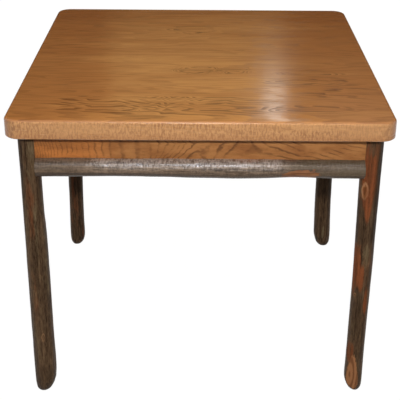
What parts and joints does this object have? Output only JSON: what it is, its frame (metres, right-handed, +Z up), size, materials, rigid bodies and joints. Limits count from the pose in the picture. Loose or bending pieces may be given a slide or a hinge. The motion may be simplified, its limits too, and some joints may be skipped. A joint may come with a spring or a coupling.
{
  "type": "rustic pole table",
  "caption": "Rustic table: a thick edge-glued oak top on bark-covered hickory pole legs, with oak aprons and half-pole rails under the top.",
  "frame": {"origin": "on the floor, under the middle of the top", "axes": "+X to the right seen from the front, +Y to the back, +Z up"},
  "size_m": [0.864, 0.94, 0.762],
  "materials": {
    "oak_top": "stained oak under a satin clear coat",
    "oak_apron": "stained oak under a satin clear coat",
    "hickory_bark": "hickory bark under a satin clear coat",
    "oak_block": "sawn oak, plain",
    "zinc_steel": "zinc plated",
    "screw_steel": "black oxide"
  },
  "bodies": {
    "root": {"top_board_1": "oak_top", "top_board_2": "oak_top", "top_board_3": "oak_top", "top_board_4": "oak_top", "top_board_5": "oak_top", "top_board_6": "oak_top", "leg_front_left": "hickory_bark", "leg_front_right": "hickory_bark", "leg_back_left": "hickory_bark", "leg_back_right": "hickory_bark", "log_rail_front": "hickory_bark", "log_rail_back": "hickory_bark", "log_rail_left": "hickory_bark", "log_rail_right": "hickory_bark", "apron_front": "oak_apron", "apron_back": "oak_apron", "apron_left": "oak_apron", "apron_right": "oak_apron", "corner_block_front_left": "oak_block", "corner_block_front_right": "oak_block", "corner_block_back_left": "oak_block", "corner_block_back_right": "oak_block", "hanger_bolts": "zinc_steel", "hanger_washers": "zinc_steel", "hanger_nuts": "zinc_steel", "top_clips": "zinc_steel", "log_screws": "screw_steel", "block_screws": "screw_steel", "clip_screws": "screw_steel"}
  },
  "joints": []
}
